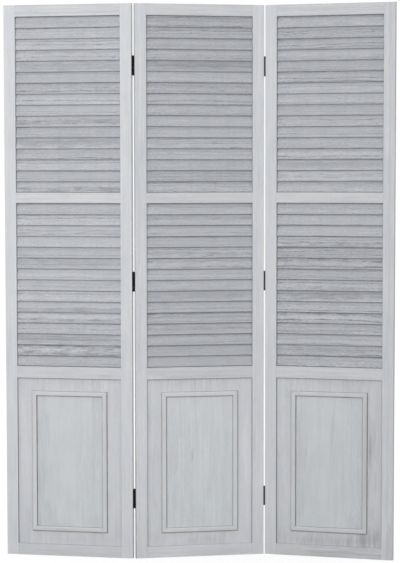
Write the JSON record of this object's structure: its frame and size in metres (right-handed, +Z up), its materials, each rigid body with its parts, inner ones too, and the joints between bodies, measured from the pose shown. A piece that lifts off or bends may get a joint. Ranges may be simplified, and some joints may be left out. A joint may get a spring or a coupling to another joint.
{
  "type": "folding screen",
  "caption": "Folding screen of hinged wooden panels, each a frame with bays of overlapping tilted slats above a flat board with a mitred moulding.",
  "frame": {"origin": "on the floor, at the middle of the underside of the middle panel", "axes": "+X along the middle panel to the right as seen from the front, +Y to the back, +Z up"},
  "size_m": [1.1642, 0.3189, 1.7],
  "materials": {
    "frame_wood": "pale grey whitewash, matt",
    "slat_wood": "thin pale grey whitewash, matt",
    "board_wood": "pale grey whitewash, matt",
    "moulding_wood": "pale whitewash rubbed through at the edges",
    "dowel_wood": "bare wood",
    "hinge_metal": "satin black",
    "screw_metal": "satin black"
  },
  "bodies": {
    "left_panel": {"left_panel_left_stile": "frame_wood", "left_panel_right_stile": "frame_wood", "left_panel_top_rail": "frame_wood", "left_panel_upper_mid_rail": "frame_wood", "left_panel_lower_mid_rail": "frame_wood", "left_panel_bottom_rail": "frame_wood", "left_panel_upper_slats": "slat_wood", "left_panel_lower_slats": "slat_wood", "left_panel_board": "board_wood", "left_panel_moulding": "moulding_wood", "left_panel_dowels": "dowel_wood", "left_top_hinge_left_leaf": "hinge_metal", "left_middle_hinge_left_leaf": "hinge_metal", "left_bottom_hinge_left_leaf": "hinge_metal", "left_panel_hinge_screws": "screw_metal"},
    "middle_panel": {"middle_panel_left_stile": "frame_wood", "middle_panel_right_stile": "frame_wood", "middle_panel_top_rail": "frame_wood", "middle_panel_upper_mid_rail": "frame_wood", "middle_panel_lower_mid_rail": "frame_wood", "middle_panel_bottom_rail": "frame_wood", "middle_panel_upper_slats": "slat_wood", "middle_panel_lower_slats": "slat_wood", "middle_panel_board": "board_wood", "middle_panel_moulding": "moulding_wood", "middle_panel_dowels": "dowel_wood", "left_top_hinge_right_leaf": "hinge_metal", "left_top_hinge_pin": "hinge_metal", "left_middle_hinge_right_leaf": "hinge_metal", "left_middle_hinge_pin": "hinge_metal", "left_bottom_hinge_right_leaf": "hinge_metal", "left_bottom_hinge_pin": "hinge_metal", "middle_panel_left_hinge_screws": "screw_metal", "right_top_hinge_left_leaf": "hinge_metal", "right_top_hinge_pin": "hinge_metal", "right_middle_hinge_left_leaf": "hinge_metal", "right_middle_hinge_pin": "hinge_metal", "right_bottom_hinge_left_leaf": "hinge_metal", "right_bottom_hinge_pin": "hinge_metal", "middle_panel_right_hinge_screws": "screw_metal"},
    "right_panel": {"right_panel_left_stile": "frame_wood", "right_panel_right_stile": "frame_wood", "right_panel_top_rail": "frame_wood", "right_panel_upper_mid_rail": "frame_wood", "right_panel_lower_mid_rail": "frame_wood", "right_panel_bottom_rail": "frame_wood", "right_panel_upper_slats": "slat_wood", "right_panel_lower_slats": "slat_wood", "right_panel_board": "board_wood", "right_panel_moulding": "moulding_wood", "right_panel_dowels": "dowel_wood", "right_top_hinge_right_leaf": "hinge_metal", "right_middle_hinge_right_leaf": "hinge_metal", "right_bottom_hinge_right_leaf": "hinge_metal", "right_panel_hinge_screws": "screw_metal"}
  },
  "joints": [
    {"name": "left_fold", "type": "hinge", "parent": "middle_panel", "child": "left_panel", "pos_m": [-0.2022, 0.01, 0.85], "axis": [0, 0, -1], "range_deg": [-20, 160]},
    {"name": "right_fold", "type": "hinge", "parent": "middle_panel", "child": "right_panel", "pos_m": [0.2022, -0.01, 0.85], "axis": [0, 0, -1], "range_deg": [-24, 156]}
  ]
}
